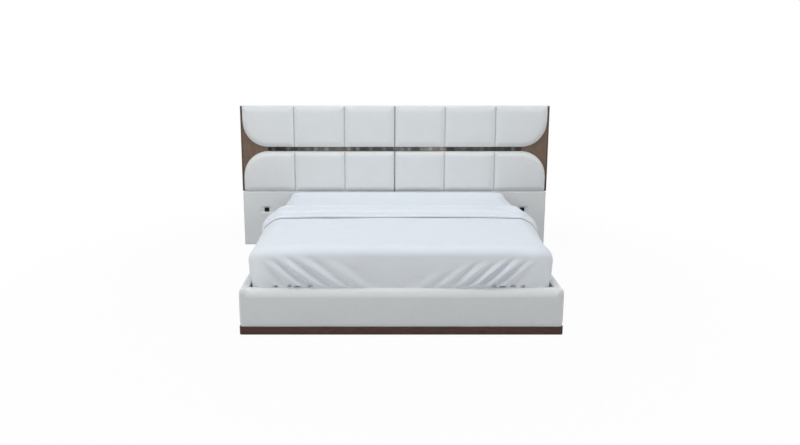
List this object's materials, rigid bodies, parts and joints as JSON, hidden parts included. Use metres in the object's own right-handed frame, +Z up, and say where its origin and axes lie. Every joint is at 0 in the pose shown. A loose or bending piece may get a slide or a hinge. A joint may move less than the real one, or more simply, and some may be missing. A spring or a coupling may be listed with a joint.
{
  "type": "king size bed",
  "caption": "Upholstered bed with a wide low headboard of channelled leather pads, walnut ends and plinth, slatted base, mattress and duvet.",
  "frame": {"origin": "on the floor under the middle of the whole bed, headboard included", "axes": "+X to the right seen from the foot, +Y from the foot towards the headboard, +Z up"},
  "size_m": [2.962, 2.221, 1.365],
  "materials": {
    "leather": "white top-grain leather, satin, fine pebble",
    "walnut": "walnut veneer, satin lacquer, brown stain",
    "bronze_mirror": "bronze tinted mirror, polished",
    "trim_metal": "brushed, grey",
    "black_plastic": "moulded, matte",
    "timber": "planed pine and plywood, bare",
    "backing": "dark non-woven cloth over hardboard",
    "steel": "zinc plated",
    "ticking": "woven ticking over foam and springs",
    "cotton": "smooth white cotton sateen"
  },
  "bodies": {
    "root": {"back_panel_left": "backing", "back_panel_right": "backing", "centre_leg_1": "steel", "centre_leg_2": "steel", "centre_trim_lower": "trim_metal", "centre_trim_upper": "trim_metal", "corner_block_foot_left": "timber", "corner_block_foot_right": "timber", "corner_block_head_left": "timber", "corner_block_head_right": "timber", "duvet": "cotton", "end_board_left": "walnut", "end_board_right": "walnut", "face_board_left": "walnut", "face_board_right": "walnut", "fitted_sheet": "cotton", "foot_rail_board": "timber", "foot_rail_cover": "leather", "frame_bottom_rail_left": "timber", "frame_bottom_rail_right": "timber", "frame_centre_upright_left": "timber", "frame_centre_upright_right": "timber", "frame_end_upright_left": "timber", "frame_end_upright_right": "timber", "frame_post_left": "timber", "frame_post_right": "timber", "frame_top_rail_left": "timber", "frame_top_rail_right": "timber", "head_rail": "timber", "headboard_bolt_high_left": "steel", "headboard_bolt_high_right": "steel", "headboard_bolt_low_left": "steel", "headboard_bolt_low_right": "steel", "lower_panel_board_left": "timber", "lower_panel_board_right": "timber", "lower_panel_cover_left": "leather", "lower_panel_cover_right": "leather", "mattress": "ticking", "mirror_strip": "bronze_mirror", "pad_board_lower_left": "timber", "pad_board_lower_right": "timber", "pad_board_upper_left": "timber", "pad_board_upper_right": "timber", "pad_lower_left": "leather", "pad_lower_right": "leather", "pad_upper_left": "leather", "pad_upper_right": "leather", "plinth_foot": "walnut", "plinth_left": "walnut", "plinth_right": "walnut", "power_socket_left": "black_plastic", "power_socket_right": "black_plastic", "side_rail_board_left": "timber", "side_rail_board_right": "timber", "side_rail_cover_left": "leather", "side_rail_cover_right": "leather", "slat_ledge_left": "timber", "slat_ledge_right": "timber", "slatted_base": "timber", "top_cap": "leather"}
  },
  "joints": []
}
